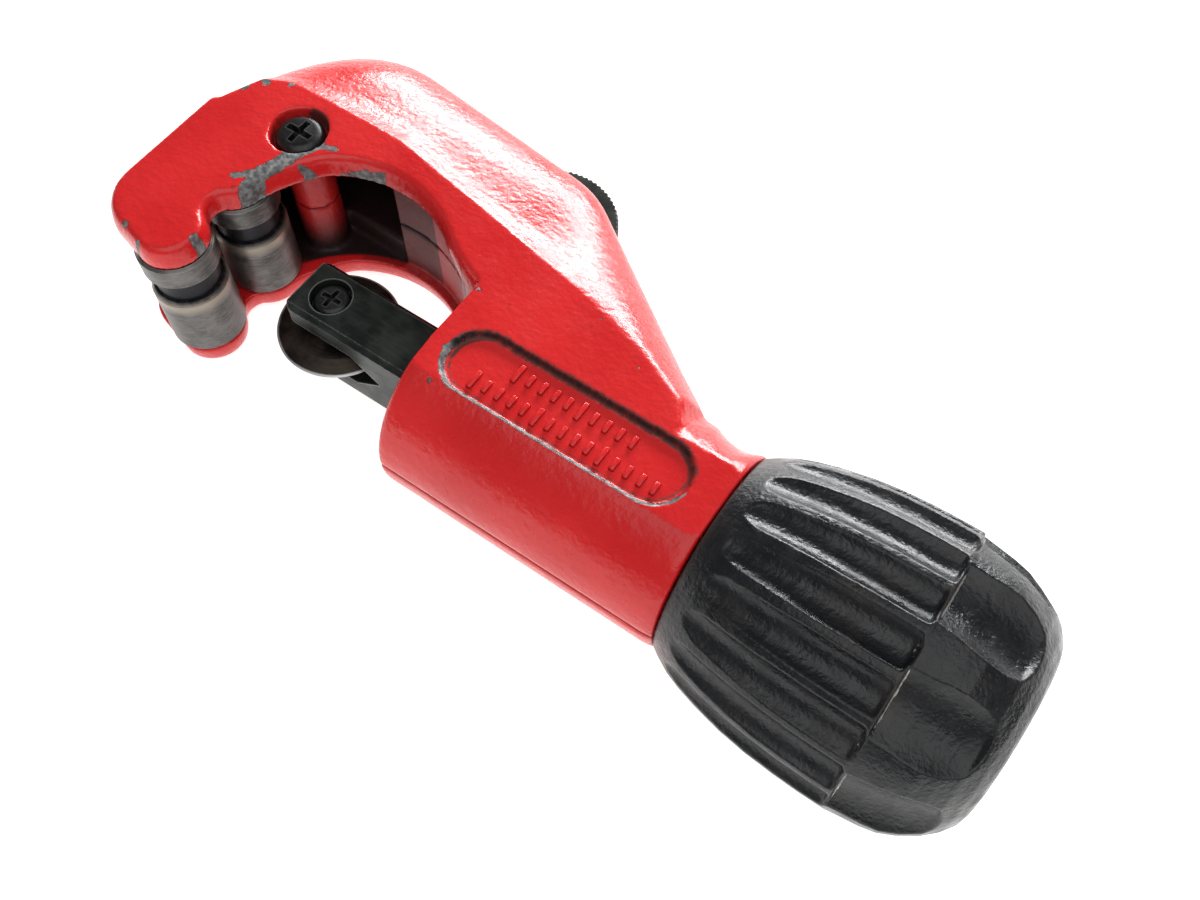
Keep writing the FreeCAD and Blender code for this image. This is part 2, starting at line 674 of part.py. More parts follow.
# Feed screw, pressed and pinned in the slide; the thread is drawn as fine turned rings
stem = new_body("feed_screw")
stem_section = new_sketch(stem, "stem_profile")
polygon(stem_section, [(stem_front_x, 0), (stem_front_x, stem_radius - 0.5),
                       (stem_front_x + 0.5, stem_radius), (stem_rear_x - 0.8, stem_radius),
                       (stem_rear_x, stem_radius - 0.8), (stem_rear_x, 0)])
turn(stem, stem_section, "stem_rod")
thread_pitch = driving("thread_pitch", 2.0)
thread_depth = driving("thread_depth", 0.7)
groove = new_sketch(stem, "thread_groove_profile")
groove_x = slide_rear_x + 1.2
polygon(groove, [(groove_x - 0.55, stem_radius + 0.1), (groove_x, stem_radius - thread_depth),
                 (groove_x + 0.55, stem_radius + 0.1)])
cut = turn(stem, groove, "thread_groove", kind="Groove")
rings = stem.newObject("PartDesign::LinearPattern", "thread_rings")
rings.Originals = [cut]
rings.Direction = (origin_feature(stem, "X_Axis"), [""])
bind(rings, "Length", thread_pitch * 20)
rings.Occurrences = 21
stem.Tip = rings
stem_hole = new_sketch(stem, "stem_pin_hole_shape", height=-stem_radius - 1)
circle(stem_hole, stem_pin_x, 0, stem_pin_radius)
pocket(stem, stem_hole, "stem_pin_hole", stem_radius * 2 + 2)
make_pin("feed_screw_pin", stem_pin_radius, -slide_half_height + 0.2, slide_half_height - 0.2,
         (stem_pin_x.value, 0, 0))

# Feed nut: a flange held in the shells and a long neck pressed in the knob
nut = new_body("feed_nut")
nut_section = new_sketch(nut, "nut_profile")
polygon(nut_section, [(nut_flange_front_x, nut_bore_radius),
                      (nut_flange_front_x, nut_flange_radius),
                      (nut_flange_rear_x, nut_flange_radius),
                      (nut_flange_rear_x, nut_body_radius),
                      (nut_rear_x - 0.6, nut_body_radius), (nut_rear_x, nut_body_radius - 0.6),
                      (nut_rear_x, nut_bore_radius)])
turn(nut, nut_section, "nut_turned")

washer = new_body("thrust_washer")
washer_section = new_sketch(washer, "washer_profile")
rectangle(washer_section, washer_front_x, washer_rear_x, nut_body_radius + running_gap,
          washer_radius)
turn(washer, washer_section, "washer_ring")

# Knob: a hollow turned barrel with flutes and a ring of thumb scallops at its end
knob = new_body("knob")
knob_section = new_sketch(knob, "knob_profile")
knob_front = knob_front_x.value
knob_rear = knob_rear_x.value
step_x = knob_step_x.value
full = knob_radius.value
outline(knob_section, (knob_front, nut_body_radius.value), [
    [(knob_front, knob_front_radius.value)],
    [(93.0, 16.1), (94.8, 17.2)],
    [(104.2, 19.85), (step_x - 2.6, full)],
    [(step_x, full)],
    [(step_x + 0.5, full - 0.25)],
    [(127.6, 19.9), (132.0, 17.85)],
    [(134.4, 15.9), (knob_rear, 12.8)],
    [(knob_rear, 0.0)],
    [(knob_hollow_x.value, 0.0)],
    [(knob_hollow_x.value, knob_hollow_radius.value - 3.0)],
    [(knob_hollow_x.value - 3.0, knob_hollow_radius.value)],
    [(nut_rear_x.value + 3.3, knob_hollow_radius.value)],
    [(nut_rear_x.value + 0.3, knob_hollow_radius.value - 3.0)],
    [(nut_rear_x.value + 0.3, nut_body_radius.value)],
    [(knob_front, nut_body_radius.value)],
])
turn(knob, knob_section, "knob_turned")
flute_start = 95.6
flute_axis_front = 20.85
flute_path = new_sketch(knob, "flute_path")
flute_path.addGeometry(Part.Arc(vector(flute_start, flute_axis_front), vector(106.0, 22.5),
                                vector(step_x + 0.3, 23.3)))
flute_profile = new_sketch(knob, "flute_profile", "YZ_Plane", flute_start)
circle(flute_profile, flute_axis_front, 0, flute_radius)
flute = knob.newObject("PartDesign::SubtractivePipe", "flute")
flute.Profile = flute_profile
flute.Spine = (flute_path, ["Edge1"])
repeat(knob, flute, "flutes", "X_Axis", flute_count)
scallop_axis_rear = 28.9
scallop_profile = new_sketch(knob, "scallop_profile", "YZ_Plane", knob_rear + 1)
circle(scallop_profile, scallop_axis_rear, 0, scallop_radius)
scallop_path = new_sketch(knob, "scallop_path")
scallop_path.addGeometry(Part.Arc(vector(knob_rear + 1, scallop_axis_rear), vector(129.0, 30.8),
                                  vector(step_x + 1.0, 31.75)))
scallop = knob.newObject("PartDesign::SubtractivePipe", "scallop")
scallop.Profile = scallop_profile
scallop.Spine = (scallop_path, ["Edge1"])
repeat(knob, scallop, "scallops", "X_Axis", scallop_count)
grub_hole = new_sketch(knob, "grub_hole_shape", height=-nut_body_radius)
circle(grub_hole, grub_x, 0, grub_radius)
pocket(knob, grub_hole, "grub_hole", 14, along_normal=False)
ring_seat = new_sketch(knob, "ring_seat_profile")
circle(ring_seat, ring_x, ring_radius, ring_wire_radius)
turn(knob, ring_seat, "ring_seat", kind="Groove")

# The knob rests with a scallop 80 degrees up from the closed spine; its grub screw turns with it
knob_rest_angle = 35
knob_rest_turn = FreeCAD.Rotation(vector(1, 0, 0), knob_rest_angle)
knob.Placement = FreeCAD.Placement(vector(0, 0, 0), knob_rest_turn)

ring = new_body("knob_friction_ring")
ring_section = new_sketch(ring, "ring_profile")
circle(ring_section, ring_x, ring_radius, ring_wire_radius)
turn(ring, ring_section, "ring_turned")

grub = new_body("knob_grub_screw")
grub_section = new_sketch(grub, "grub_profile", "XZ_Plane")
polygon(grub_section, [(0, 0), (grub_radius - 0.5, 0), (grub_radius, -0.5), (grub_radius, -6.4),
                       (grub_radius - 0.4, -6.8), (0, -6.8)])
turn(grub, grub_section, "grub_body", "V_Axis")
socket = new_sketch(grub, "socket_shape", height=-7.5)
socket_radius = 1.15
polygon(socket, [polar((0, 0), socket_radius, 60 * corner) for corner in range(6)])
pocket(grub, socket, "socket", 2.8)
grub.Placement = FreeCAD.Placement(
    knob_rest_turn.multVec(vector(grub_x.value, 0, -nut_body_radius.value)), knob_rest_turn)

# Reamer: a knurled hub disc with a tapered blade that folds along the back slope
reamer = new_body("reamer_blade")
hub = new_sketch(reamer, "reamer_hub_shape", height=reamer_bottom)
tooth_count = 72
tooth_depth = 0.3
tip = reamer_radius.value
for tooth in range(tooth_count):
    step = 360 / tooth_count
    root = polar((0, 0), tip - tooth_depth, step * tooth)
    crest = polar((0, 0), tip, step * (tooth + 0.5))
    following = polar((0, 0), tip - tooth_depth, step * (tooth + 1))
    hub.addGeometry(Part.LineSegment(vector(*root), vector(*crest)))
    hub.addGeometry(Part.LineSegment(vector(*crest), vector(*following)))
circle(hub, 0, 0, reamer_pin_radius + running_gap)
pad(reamer, hub, "reamer_hub", reamer_top - reamer_bottom)
blade = new_sketch(reamer, "reamer_blade_shape", height=reamer_bottom + 0.4)
polygon(blade, blade_corners)
pad(reamer, blade, "reamer_wing", reamer_top - reamer_bottom - 0.8)
blend_edges(reamer, "reamer_bevel", 0.5,
            lambda edge: edge.BoundBox.ZLength < 0.01 and edge.BoundBox.XMax > 20
            and edge.BoundBox.XLength > 5, "Chamfer")
reamer.Placement = FreeCAD.Placement(vector(reamer_x.value, reamer_y.value, 0),
                                     FreeCAD.Rotation(upward, reamer_rest_angle))
make_pin("reamer_pivot_pin", reamer_pin_radius, -reamer_pin_half_length, reamer_pin_half_length,
         (reamer_x.value, reamer_y.value, 0))
spring_washer = new_body("reamer_spring_washer")
spring_section = new_sketch(spring_washer, "spring_washer_profile", "XZ_Plane")
rectangle(spring_section, reamer_pin_radius + running_gap, reamer_washer_radius,
          -reamer_slot_half + 0.05, reamer_bottom - 0.05)
turn(spring_washer, spring_section, "spring_washer_ring", "V_Axis")
spring_washer.Placement.Base = vector(reamer_x.value, reamer_y.value, 0)

doc.recompute()
for item in doc.Objects:
    faults = {"Invalid", "Error"} & set(item.State)
    if faults:
        raise RuntimeError(f"{item.Label}: {sorted(faults)}")
for node in nodes:
    if node.Shape.isNull() or not node.Shape.isValid():
        raise RuntimeError(f"{node.Label}: the shape is not valid")
    node.Shape.exportStep(f"parts/{node.Label}.step")
    print(node.Label, len(node.Shape.Solids), round(node.Shape.Volume, 1))
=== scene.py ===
import math

import bpy
import numpy as np
from mathutils import Matrix, Vector


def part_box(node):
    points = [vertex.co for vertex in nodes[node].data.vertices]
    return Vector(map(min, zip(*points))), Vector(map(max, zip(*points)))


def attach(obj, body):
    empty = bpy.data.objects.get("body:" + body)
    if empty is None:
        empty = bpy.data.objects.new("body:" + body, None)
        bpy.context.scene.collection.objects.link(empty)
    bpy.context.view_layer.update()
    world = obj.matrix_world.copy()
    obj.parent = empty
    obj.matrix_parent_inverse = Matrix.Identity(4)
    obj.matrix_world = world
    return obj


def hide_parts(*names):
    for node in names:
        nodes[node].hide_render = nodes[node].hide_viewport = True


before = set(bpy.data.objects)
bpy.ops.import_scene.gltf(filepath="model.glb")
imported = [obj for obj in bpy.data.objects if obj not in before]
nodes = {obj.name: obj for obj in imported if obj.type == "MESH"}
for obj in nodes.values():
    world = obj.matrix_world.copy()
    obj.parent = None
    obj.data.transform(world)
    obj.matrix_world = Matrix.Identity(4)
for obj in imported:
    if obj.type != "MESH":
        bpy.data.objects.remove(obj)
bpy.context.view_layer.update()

# The pipe cutter's looks. Blender works in metres in the part's own frame: +X runs from the jaw to
# the knob, +Y to the closed spine and +Z out of the upper half shell. Sizes and places are written
# in mm, and MM turns them into metres.

MM = 0.001
scene = bpy.context.scene


# ---------------------------------------------------------------- shader building

class Material:
    """A node material, built from short calls."""

    def __init__(self, name):
        self.data = bpy.data.materials.new(name)
        self.data.use_nodes = True
        self.tree = self.data.node_tree
        self.shader = self.tree.nodes["Principled BSDF"]
        self.place = self.add("TexCoord").outputs["Object"]

    def add(self, kind, inputs=None, **settings):
        """Add a shader node with its inputs fed and its settings made."""
        node = self.tree.nodes.new(f"ShaderNode{kind}")
        for key, value in settings.items():
            setattr(node, key, value)
        for key, value in (inputs or {}).items():
            self.feed(node.inputs[key], value)
        return node

    def feed(self, socket, value):
        """Link a socket to another one, or give it a plain value."""
        if isinstance(value, bpy.types.NodeSocket):
            self.tree.links.new(value, socket)
        else:
            socket.default_value = value

    def set(self, **sockets):
        """Set sockets of the main shader; an underscore stands for a space."""
        for key, value in sockets.items():
            self.feed(self.shader.inputs[key.replace("_", " ")], value)

    def noise(self, size, detail=3.0, roughness=0.5, stretch=None):
        """Noise whose features are about size across; stretch scales each axis."""
        place = self.place
        if stretch:
            place = self.add("Mapping", {"Vector": place, "Scale": stretch}).outputs[0]
        return self.add("TexNoise", {"Vector": place, "Scale": 1.0 / size, "Detail": detail,
                                     "Roughness": roughness}).outputs["Fac"]

    def math(self, operation, first, second=0.0):
        """One step of arithmetic on two values or sockets."""
        node = self.add("Math", operation=operation)
        self.feed(node.inputs[0], first)
        self.feed(node.inputs[1], second)
        return node.outputs[0]

    def ramp(self, value, low, high, start=0.0, end=1.0):
        """Map value smoothly from low..high to start..end."""
        return self.add("MapRange", {"Value": value, "From Min": low, "From Max": high,
                                     "To Min": start, "To Max": end},
                        interpolation_type="SMOOTHSTEP").outputs["Result"]

    def mix(self, share, first, second):
        """Blend two colours by share; a colour's sockets sit at 6 and 7 on this node."""
        node = self.add("Mix", data_type="RGBA")
        self.feed(node.inputs["Factor"], share)
        self.feed(node.inputs[6], first)
        self.feed(node.inputs[7], second)
        return node.outputs[2]

    def mark(self, name):
        """Read what write_mark stored on the mesh."""
        return self.add("Attribute", attribute_name=name).outputs["Fac"]

    def edges(self, radius):
        """How sharply the surface turns within radius, for wear on machined edges."""
        rounded = self.add("Bevel", {"Radius": radius}, samples=4).outputs["Normal"]
        flat = self.add("NewGeometry").outputs["Normal"]
        alike = self.add("VectorMath", operation="DOT_PRODUCT")
        self.feed(alike.inputs[0], rounded)
        self.feed(alike.inputs[1], flat)
        return self.math("SUBTRACT", 1.0, alike.outputs["Value"])

    def bump(self, layers):
        """Stack bump layers given as (height, depth in metres)."""
        normal = None
        for height, depth in layers:
            inputs = {"Height": height, "Distance": depth, "Strength": 1.0}
            if normal:
                inputs["Normal"] = normal
            normal = self.add("Bump", inputs).outputs["Normal"]
        self.set(Normal=normal)


def grey(value, warm=0.0):
    """A grey, warmed towards red where warm is above zero."""
    return (value * (1 + warm), value, value * (1 - warm), 1.0)


def enamel(name):
    """Glossy red enamel over die-cast metal, chipped to the metal, with grime and painted shade in its
    corners and hollows.
    """
    look = Material(name)
    broad = look.noise(16 * MM, 4.0)
    red = look.mix(look.ramp(broad, 0.3, 0.7), (0.60, 0.011, 0.013, 1), (0.70, 0.020, 0.021, 1))
    breakup = look.noise(1.0 * MM, 6.0, 0.68)
    grime_and_shade = look.ramp(look.math("ADD", look.mark("grime_and_shade"), look.math("MULTIPLY", breakup, 0.7)),
                      0.75, 1.1)
    worn = look.math("ADD", look.mark("wear"), look.math("MULTIPLY", breakup, 0.9))
    bare = look.ramp(worn, 0.93, 0.99)
    rim = look.ramp(worn, 0.86, 0.93)
    metal = look.mix(look.ramp(look.noise(0.9 * MM, 4.0), 0.35, 0.7), grey(0.10), grey(0.30))
    speck = look.ramp(look.noise(2.2 * MM, 2.0), 0.76, 0.80)
    colour = look.mix(look.math("MULTIPLY", speck, 0.5), red, (0.30, 0.01, 0.01, 1))
    colour = look.mix(look.math("MULTIPLY", rim, 0.7), colour, (0.16, 0.012, 0.012, 1))
    colour = look.mix(bare, colour, metal)
    # Grime, and painted shade in the panel's recess and round the head screw, darken the colour towards
    # a brownish black.
    colour = look.mix(look.math("MULTIPLY", grime_and_shade, 0.88), colour, (0.022, 0.018, 0.014, 1))
    # Painted shade: near-black in the hollows behind the rollers, on the mouth's wall, in the slideway,
    # along the panel's spine-side rim and at the bars' feet; the seam's dark line rides on it too.
    painted_shade_and_seam = look.mark("painted_shade_and_seam")
    colour = look.mix(look.math("MULTIPLY", painted_shade_and_seam, 0.985), colour, (0.003, 0.002, 0.002, 1))
    rough = look.ramp(look.noise(5 * MM, 4.0), 0.3, 0.75, 0.22, 0.32)
    rough = look.math("ADD", rough, look.math("MULTIPLY", look.math("ADD", grime_and_shade, painted_shade_and_seam), 0.35))
    peel = look.noise(1.3 * MM, 2.0, 0.4)
    grain = look.noise(0.62 * MM, 3.0, 0.5)
    look.set(Base_Color=colour, Roughness=look.math("ADD", rough, look.math("MULTIPLY", bare, 0.32)),
             Metallic=look.math("MULTIPLY", bare, 0.45), Coat_Weight=0.08, Coat_Roughness=0.15,
             Specular_IOR_Level=0.36)
    look.bump([(peel, 0.11 * MM), (grain, 0.06 * MM), (look.math("SUBTRACT", 1.0, bare), 0.10 * MM)])
    return look.data


def knob_paint():
    """Textured black paint on the cast knob, worn to light metal along its rims."""
    look = Material("knob_paint")
    breakup = look.noise(1.1 * MM, 5.0, 0.7)
    patches = look.noise(6 * MM, 3.0)
    worn = look.math("ADD", look.mark("wear"), look.math("MULTIPLY", breakup, 0.8))
    worn = look.math("ADD", worn, look.math("MULTIPLY", patches, 0.35))
    bare = look.ramp(worn, 1.16, 1.26)
    dust = look.ramp(look.math("ADD", look.noise(9 * MM, 5.0, 0.7),
                               look.math("MULTIPLY", look.mark("grime_and_shade"), 0.25)), 0.50, 0.78)
    colour = look.mix(look.math("MULTIPLY", dust, 0.6), (0.0045, 0.0053, 0.0072, 1),
                      (0.030, 0.024, 0.019, 1))
    colour = look.mix(bare, colour, look.mix(breakup, grey(0.22, 0.08), grey(0.55, 0.05)))
    leather = look.noise(0.62 * MM, 3.0, 0.55)
    rough = look.ramp(look.noise(3 * MM, 4.0), 0.3, 0.75, 0.22, 0.42)
    look.set(Base_Color=colour, Roughness=look.math("ADD", rough, look.math("MULTIPLY", dust, 0.12)),
             Metallic=look.math("MULTIPLY", bare, 0.6), Coat_Weight=0.1, Coat_Roughness=0.2,
             Specular_IOR_Level=0.36)
    look.bump([(leather, 0.14 * MM), (look.noise(2.4 * MM, 2.0), 0.10 * MM)])
    return look.data


def machined(name, dark, light, edge, stretch=(1, 1, 1), metallic=0.85, rough=(0.3, 0.5),
             worn_edge=0.9, grain=0.5 * MM):
    """Machined steel: a patchy skin with grain along the tool's path and bright worn edges."""
    look = Material(name)
    breakup = look.noise(0.9 * MM, 5.0, 0.65)
    patches = look.noise(4.5 * MM, 5.0, 0.6)
    lines = look.noise(grain, 3.0, 0.6, stretch)
    colour = look.mix(look.ramp(patches, 0.35, 0.68), dark, light)
    colour = look.mix(look.math("MULTIPLY", look.ramp(lines, 0.4, 0.75), 0.35), colour,
                      tuple(min(1.0, part * 1.9) for part in light[:3]) + (1.0,))
    turned = look.math("MULTIPLY", look.edges(0.45 * MM), 5.0)
    wear = look.ramp(look.math("ADD", turned, look.math("MULTIPLY", breakup, 0.7)), 0.72, 1.0)
    colour = look.mix(look.math("MULTIPLY", wear, worn_edge), colour, edge)
    look.set(Base_Color=colour, Metallic=metallic,
             Roughness=look.ramp(patches, 0.3, 0.7, rough[0], rough[1]))
    look.bump([(lines, 0.02 * MM), (breakup, 0.02 * MM)])
    return look


def roller_steel(name):
    """Worn grey steel with a bright shoulder, and its groove darkened to near-black as painted shade.
    """
    look = machined(name, grey(0.060, 0.04), grey(0.15, 0.05), grey(0.34), stretch=(0.3, 0.3, 2.5),
                    metallic=0.8, rough=(0.36, 0.50))
    height = look.add("SeparateXYZ", {"Vector": look.place}).outputs["Z"]
    blur = look.math("MULTIPLY", look.noise(1.4 * MM, 4.0), 0.5 * MM)
    height = look.math("ADD", height, blur)
    # Painted shade: the groove between these heights is darkened to near-black.
    groove_shade = look.math("MULTIPLY", look.ramp(height, 1.9 * MM, 2.3 * MM),
                       look.ramp(height, 6.0 * MM, 6.4 * MM, 1.0, 0.0))
    shoulder = look.math("MULTIPLY", look.ramp(height, -1.0 * MM, 1.2 * MM),
                         look.ramp(height, 1.7 * MM, 2.0 * MM, 1.0, 0.0))
    plain = look.shader.inputs["Base Color"].links[0].from_socket
    colour = look.mix(look.math("MULTIPLY", shoulder, 0.6), plain, (0.42, 0.36, 0.29, 1))
    look.set(Base_Color=look.mix(look.math("MULTIPLY", groove_shade, 0.93), colour, (0.012, 0.012, 0.016, 1)))
    return look.data


def wheel_steel():
    """Dark brown hardened steel, concentric turning marks and a bright ground edge."""
    look = Material("wheel_steel")
    low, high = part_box("cutter_wheel")
    centre = [(a + b) / 2 for a, b in zip(low, high)]
    offset = look.add("VectorMath", {1: tuple(centre)}, operation="SUBTRACT")
    look.feed(offset.inputs[0], look.place)
    flat = look.add("VectorMath", {1: (1.0, 1.0, 0.0)}, operation="MULTIPLY")
    look.feed(flat.inputs[0], offset.outputs[0])
    radius = look.add("VectorMath", operation="LENGTH")
    look.feed(radius.inputs[0], flat.outputs[0])
    radius = radius.outputs["Value"]
    rings = look.math("SINE", look.math("MULTIPLY", radius, 9000.0))
    patches = look.noise(3.5 * MM, 5.0, 0.6)
    rust = look.mix(look.ramp(patches, 0.35, 0.65), (0.016, 0.013, 0.011, 1), (0.045, 0.034, 0.026, 1))
    edge = look.ramp(look.math("ADD", radius, look.math("MULTIPLY", patches, 0.3 * MM)),
                     9.2 * MM, 9.5 * MM)
    look.set(Base_Color=look.mix(edge, rust, grey(0.5)), Metallic=0.8,
             Roughness=look.ramp(patches, 0.3, 0.7, 0.34, 0.55))
    look.bump([(rings, 0.004 * MM), (look.noise(0.7 * MM, 4.0), 0.03 * MM)])
    return look.data


def knurled_steel():
    """Dark greenish knurled steel with rubbed teeth."""
    return machined("knurled_steel", (0.008, 0.012, 0.009, 1), (0.024, 0.032, 0.026, 1), grey(0.24),
                    metallic=0.6, rough=(0.35, 0.55), worn_edge=0.55).data


def soft_black():
    """Dull black rubber."""
    look = Material("ring_rubber")
    look.set(Base_Color=look.mix(look.noise(2 * MM), grey(0.010), grey(0.022)), Roughness=0.75)
    look.bump([(look.noise(0.5 * MM), 0.02 * MM)])
    return look.data


# ---------------------------------------------------------------- mesh helpers

def arrays(mesh):
    """The mesh's points, and its edges as pairs of point numbers."""
    points = np.empty(len(mesh.vertices) * 3)
    mesh.vertices.foreach_get("co", points)
    edges = np.empty(len(mesh.edges) * 2, dtype=np.int64)
    mesh.edges.foreach_get("vertices", edges)
    return points.reshape(-1, 3), edges.reshape(-1, 2)


def averaged(points, edges, rounds, share=None):
    """Laplacian smoothing; share gives each point's freedom to move."""
    count = len(points)
    total = np.bincount(edges.ravel(), minlength=count).clip(1)[:, None]
    share = 0.5 if share is None else 0.5 * share[:, None]
    first, second = edges[:, 0], edges[:, 1]
    for _ in range(rounds):
        near = np.zeros_like(points)
        for axis in range(3):
            near[:, axis] = (np.bincount(first, points[second, axis], count)
                             + np.bincount(second, points[first, axis], count))
        points = points + share * (near / total - points)
    return points


def write_points(mesh, points):
    """Move the mesh's points to new places."""
    mesh.vertices.foreach_set("co", points.ravel())
    mesh.update()


def write_mark(mesh, name, values):
    """Store one value per point for a material to read."""
    layer = mesh.attributes.new(name, "FLOAT", "POINT")
    layer.data.foreach_set("value", np.asarray(values, dtype=np.float32))


def normals_of(mesh):
    """The direction in which each point faces."""
    normals = np.empty(len(mesh.vertices) * 3)
    mesh.vertices.foreach_get("normal", normals)
    return normals.reshape(-1, 3)


def ridge(mesh, rounds):
    """How far each point stands out of its smoothed surroundings, in mm: ridges are positive."""
    points, edges = arrays(mesh)
    calm = averaged(points, edges, rounds)
    return ((points - calm) * normals_of(mesh)).sum(axis=1) / MM


def path_distance(points, path):
    """Distance in mm in plan from a polyline given in mm."""
    flat = points[:, :2] / MM
    best = np.full(len(flat), 1e9)
    for start, end in zip(path[:-1], path[1:]):
        start, run = np.array(start), np.array(end) - np.array(start)
        along = np.clip(((flat - start) @ run) / (run @ run), 0, 1)[:, None]
        best = np.minimum(best, np.linalg.norm(flat - start - along * run, axis=1))
    return best


def smooth_step(values, low, high):
    """Rise smoothly from 0 at low to 1 at high."""
    share = np.clip((values - low) / (high - low), 0, 1)
    return share * share * (3 - 2 * share)


def add_piece(name, mesh, body, material):
    """Put a finished mesh in the scene as a piece that rides on a body."""
    piece = bpy.data.objects.new(name, mesh)
    scene.collection.objects.link(piece)
    mesh.materials.clear()
    mesh.materials.append(material)
    mesh.shade_smooth()
    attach(piece, body)
    return piece


# ---------------------------------------------------------------- cast half shells

# Grain of the remeshed castings, and rounds of smoothing on their sloping spine
VOXEL = 0.42 * MM
SPINE_ROUNDS = 70

# The flat face, the least height that counts as on it, and the head screw and round mouth in it
FACE_Z = 14.3
NEAR_FACE_Z = 12.8
SCREW = (3.9, 18.0)
MOUTH_X = 22.4

# The crease parts the flat face from the sloping spine, which dips behind it and then recovers
CREASE = [(-11, 15.4), (-7.9, 22.8), (-3.4, 24.9), (6.1, 25.2), (18, 25.2), (41, 20.75),
          (56.7, 17.7), (69.3, 14.1), (77.5, 10.6)]
DIP_DEPTH = 1.6
DIP_LENGTH = 4.2
DIP_RECOVERY = 0.05

# Share by which the slideway's blind end is opened
WAY_RELIEF = 0.035

# The recessed panel on the barrel: the middle line of its rounded outline, and how far that reaches
PANEL = [(52.45, -0.25), (81.05, -0.25)]
PANEL_RADIUS = 5.15
PANEL_DEPTH = 0.93

# Plain raised bars in the panel: y, first x, count and pitch of each row, every fifth bar longer
TICK_ROWS = [(-2.35, 53.2, 15, 2.1), (1.75, 57.6, 10, 2.1)]
TICK_WIDTH = 0.75
TICK_HEIGHT = 0.62
LONG_TICK = 3.0
SHORT_TICK = 2.0

# Bare metal: the long scrape beside the rollers with its branches, the thin line on the jaw's inner
# rim, and chips as x, y and size
SCAR = [(8.1, 17.3), (6.5, 14.0), (5.8, 11.5), (4.7, 8.4), (5.0, 6.0), (5.9, 3.4)]
SCAR_TIP = [(4.7, 8.4), (2.0, 5.6)]
SCAR_BRANCH = [(7.0, 15.6), (9.2, 17.4), (11.1, 18.2)]
RIM_LINE = [(8.4, 12.8), (10.9, 14.8), (13.1, 16.7), (16.3, 18.3), (19.6, 19.2)]
CHIPS = [(5.8, -6.3, 1.5), (-4.7, -10.2, 0.8), (-1.1, -11.8, 0.8), (-8.9, 20.1, 1.1), (-6.7, 22.6, 1.2),
         (-3.2, 24.4, 0.9), (14.0, 25.2, 0.5), (16.8, 24.4, 0.5), (23.5, 22.0, 0.4), (32.2, 19.6, 0.5),
         (48.4, -6.2, 0.7), (45.0, 9.8, 0.8), (46.8, -0.6, 0.6), (42.8, 22.2, 0.6), (62.0, 15.3, 0.6),
         (70.8, 11.6, 0.5), (34.5, 24.0, 0.5), (60.8, -12.6, 0.4)]


def crease_height(x):
    """How far up in y the crease lies at each x."""
    xs, ys = zip(*CREASE)
    return np.interp(x, xs, ys)


def soften_spine(mesh):
    """Ease the sloping spine into one sweeping surface that dips just behind its crease."""
    points, edges = arrays(mesh)
    x, y, z = (points / MM).T
    behind = y - crease_height(x)
    slope = smooth_step(np.abs(z), 4.5, 7.0) * (1 - smooth_step(x, 74, 79))
    points = averaged(points, edges, SPINE_ROUNDS, smooth_step(behind, 0.6, 2.5) * slope)
    reach = np.clip(behind, 0, None)
    dip = DIP_DEPTH * np.tanh(reach / DIP_LENGTH) - DIP_RECOVERY * reach
    dip *= smooth_step(np.abs(z), 4.5, 10.0) * (1 - smooth_step(x, 44, 66))
    points[:, 2] -= np.sign(z) * np.clip(dip, 0, None) * MM
    write_points(mesh, points)


def clear_slideway(mesh):
    """Open the corners at the slideway's blind end, which remeshing leaves rounded inwards."""
    points, _ = arrays(mesh)
    x, y, z = (points / MM).T
    blind_end = smooth_step(x, 82.5, 84.0) * (x < 86.6) * (np.abs(y) < 5.6) * (np.abs(z) < 8.2)
    points[:, 1:] *= 1 + WAY_RELIEF * blind_end[:, None]
    write_points(mesh, points)


def panel_marks(points):
    """Wear, painted shade and grime on the panel's rim: worn on its open side, with painted shade on
    the wall inside it there, and darker towards the spine with painted shade and some grime.
    """
    x, y, z = (points / MM).T
    past_rim = path_distance(points, PANEL) - PANEL_RADIUS
    from_rim = np.abs(past_rim)
    on_face = np.abs(z) > NEAR_FACE_Z
    open_side = 1 - smooth_step(y, -3.0, 2.5) * smooth_step(x, 47, 51)
    wear = on_face * 0.60 * open_side * smooth_step(past_rim, -0.75, -0.45) * (past_rim < 0.35)
    # Darker near the rim towards the spine: painted shade, partly grime.
    grime_and_shade = on_face * (1 - smooth_step(from_rim, 0.3, 1.6)) * 0.62 * smooth_step(y, -4, 2.5)
    # Painted shade on the recess wall just inside the rim on the open side.
    grime_and_shade += on_face * 0.55 * open_side * (1 - smooth_step(np.abs(past_rim + 1.0), 0.2, 0.5))
    # Painted shade: a near-black line along the rim on the spine side, fainter at the right end.
    spine_side = on_face * smooth_step(y, -1.5, 2.5) * (1 - smooth_step(from_rim, 0.05, 0.55))
    painted_shade_and_seam = 0.9 * spine_side * (1 - 0.5 * smooth_step(x, 62, 74) * (y < 4))
    return wear, grime_and_shade, painted_shade_and_seam


